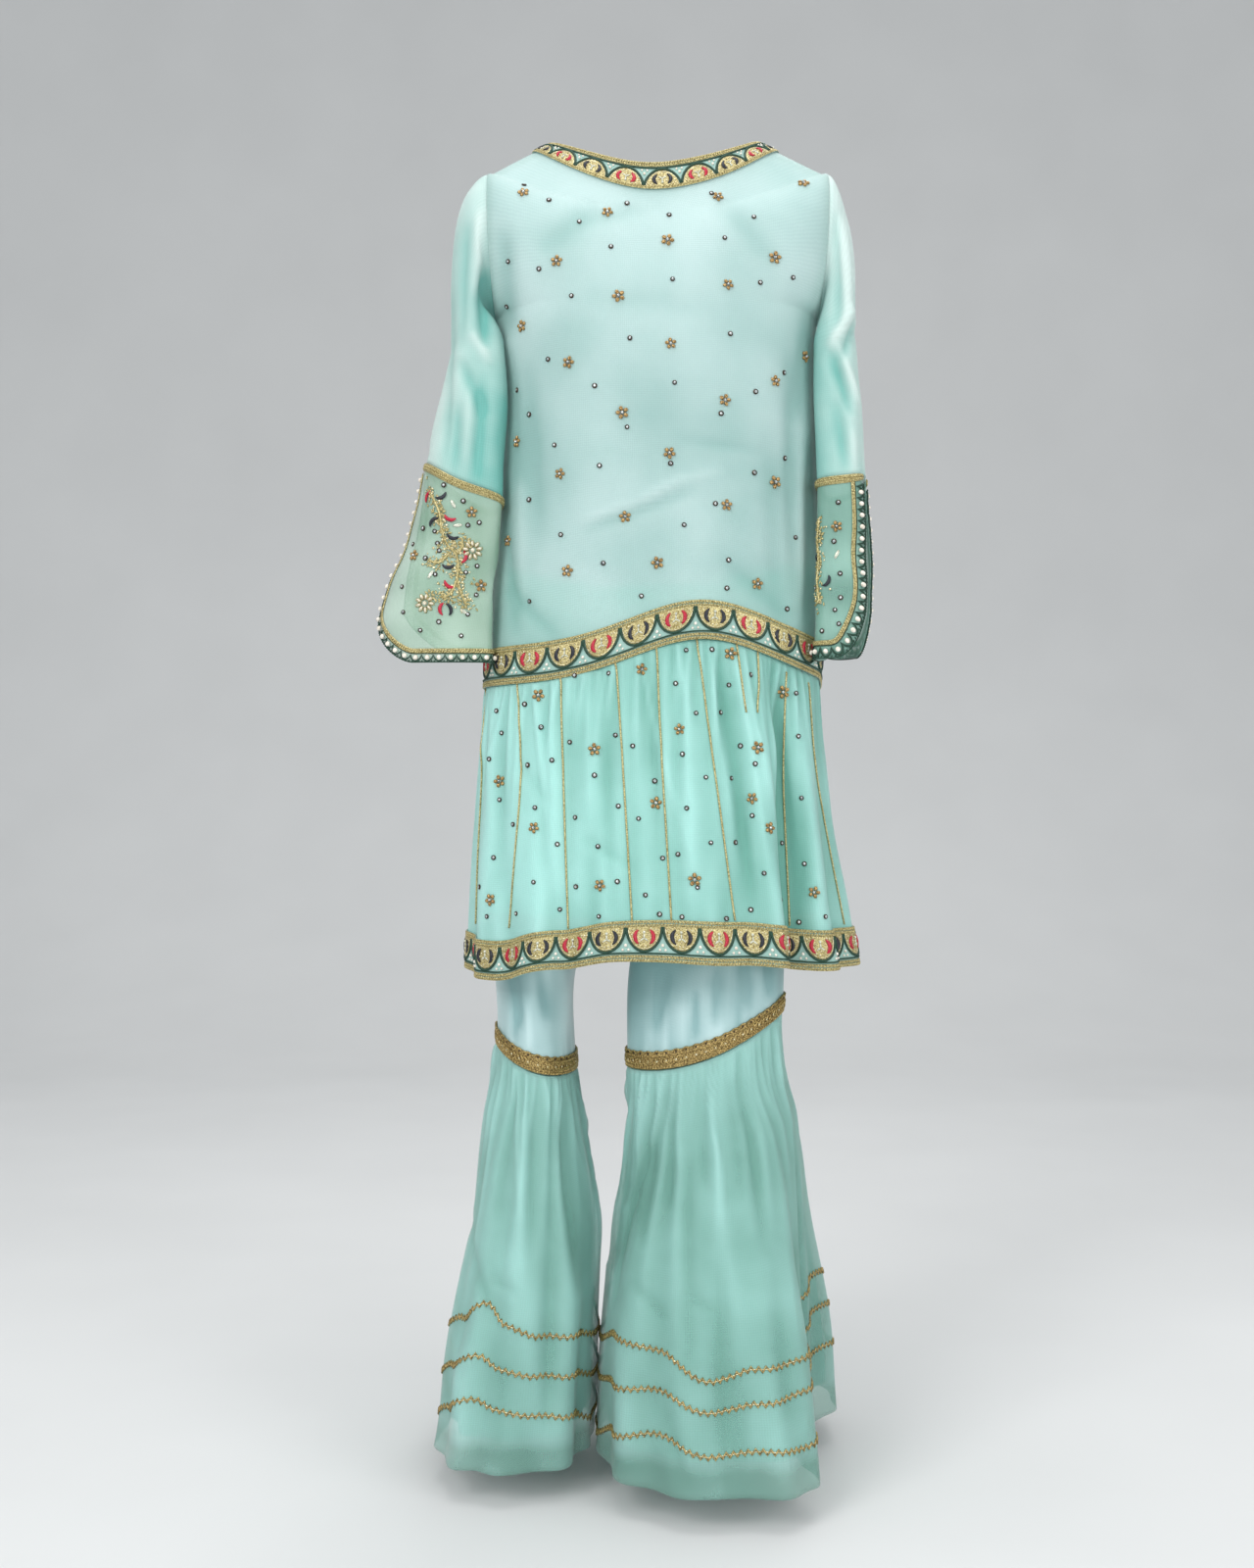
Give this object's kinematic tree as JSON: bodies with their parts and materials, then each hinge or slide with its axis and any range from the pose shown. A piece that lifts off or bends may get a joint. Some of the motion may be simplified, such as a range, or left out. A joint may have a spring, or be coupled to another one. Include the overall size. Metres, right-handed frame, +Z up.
{
  "type": "salwar kameez suit",
  "caption": "Worn-form suit: sheer short kameez with gathered skirt, bell cuffs and gold borders, over trousers flaring from the knee.",
  "frame": {"origin": "midway between the neck ends of the two shoulder seams, where the wearer's shoulders hold the suit", "axes": "+Z up, +X to the right as seen from the front, the front faces -Y"},
  "size_m": [0.5424, 0.3916, 1.427],
  "materials": {
    "aqua_chiffon": "sheer aqua chiffon, soft sheen",
    "pale_crepe_lining": "smooth pale crepe",
    "sage_organza": "crisp sheer sage organza",
    "pale_aqua_satin": "soft satin sheen",
    "zari_border": "gold thread and sequin embroidery",
    "gold_braid": "metallic gold braid"
  },
  "bodies": {
    "root": {"bodice_front": "aqua_chiffon", "bodice_back": "aqua_chiffon", "skirt_front": "aqua_chiffon", "skirt_back": "aqua_chiffon", "sleeve_left": "aqua_chiffon", "sleeve_right": "aqua_chiffon", "flare_left": "aqua_chiffon", "flare_right": "aqua_chiffon", "bodice_lining_front": "pale_crepe_lining", "bodice_lining_back": "pale_crepe_lining", "flare_lining_left": "pale_crepe_lining", "flare_lining_right": "pale_crepe_lining", "cuff_left": "sage_organza", "cuff_right": "sage_organza", "waistband": "pale_aqua_satin", "trouser_left": "pale_aqua_satin", "trouser_right": "pale_aqua_satin", "neck_border_front": "zari_border", "neck_border_back": "zari_border", "waist_border_front": "zari_border", "waist_border_back": "zari_border", "hem_border_front": "zari_border", "hem_border_back": "zari_border", "cuff_border_left": "zari_border", "cuff_border_right": "zari_border", "cuff_braid_left": "gold_braid", "cuff_braid_right": "gold_braid", "knee_lace_left": "gold_braid", "knee_lace_right": "gold_braid"}
  },
  "joints": []
}
